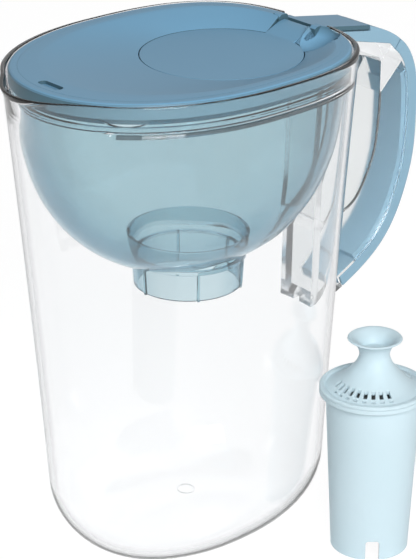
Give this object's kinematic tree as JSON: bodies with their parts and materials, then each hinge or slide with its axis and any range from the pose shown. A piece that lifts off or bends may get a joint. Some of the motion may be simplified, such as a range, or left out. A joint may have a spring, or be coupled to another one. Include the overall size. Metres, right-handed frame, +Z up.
{
  "type": "water filter pitcher",
  "caption": "Clear jug with a pouring lip, closed handle, lift-out filter reservoir, lid with a hinged refill flap and a replaceable filter standing beside it.",
  "frame": {"origin": "middle of the jug's flat foot on the table, under the widest part of its outline", "axes": "+Z up, +X towards the handle, -X towards the pouring lip, -Y towards the filter that stands beside it"},
  "size_m": [0.255, 0.177, 0.262],
  "materials": {
    "clear_jug": "clear gloss",
    "clear_handle": "clear gloss",
    "strap_blue": "satin",
    "reservoir_tint": "translucent gloss",
    "lid_blue": "satin gloss",
    "flap_blue": "satin gloss",
    "pin_plastic": "matte",
    "filter_pale": "satin",
    "media_grains": "matte",
    "screen_mesh": "matte"
  },
  "bodies": {
    "pitcher": {"jug_body": "clear_jug", "handle_frame": "clear_handle", "handle_strap": "strap_blue", "handle_cap": "strap_blue"},
    "reservoir": {"reservoir": "reservoir_tint"},
    "lid": {"lid_shell": "lid_blue", "flap_hinge_pin": "pin_plastic"},
    "flap": {"refill_flap": "flap_blue"},
    "filter": {"filter_housing": "filter_pale", "filter_cap": "filter_pale", "filter_media": "media_grains", "filter_screen_top": "screen_mesh", "filter_screen_bottom": "screen_mesh"}
  },
  "joints": [
    {"name": "reservoir_lift", "type": "slide", "parent": "pitcher", "child": "reservoir", "axis": [0, 0, 1], "range_m": [0, 0.14]},
    {"name": "lid_lift", "type": "slide", "parent": "reservoir", "child": "lid", "axis": [0, 0, 1], "range_m": [0, 0.06]},
    {"name": "flap_hinge", "type": "hinge", "parent": "lid", "child": "flap", "pos_m": [0.0783, 0, 0.257], "axis": [0, 1, 0], "range_deg": [0, 100]},
    {"name": "filter_lift", "type": "slide", "parent": "pitcher", "child": "filter", "axis": [0, -0.6, 0.8], "range_m": [0, 0.16]}
  ]
}
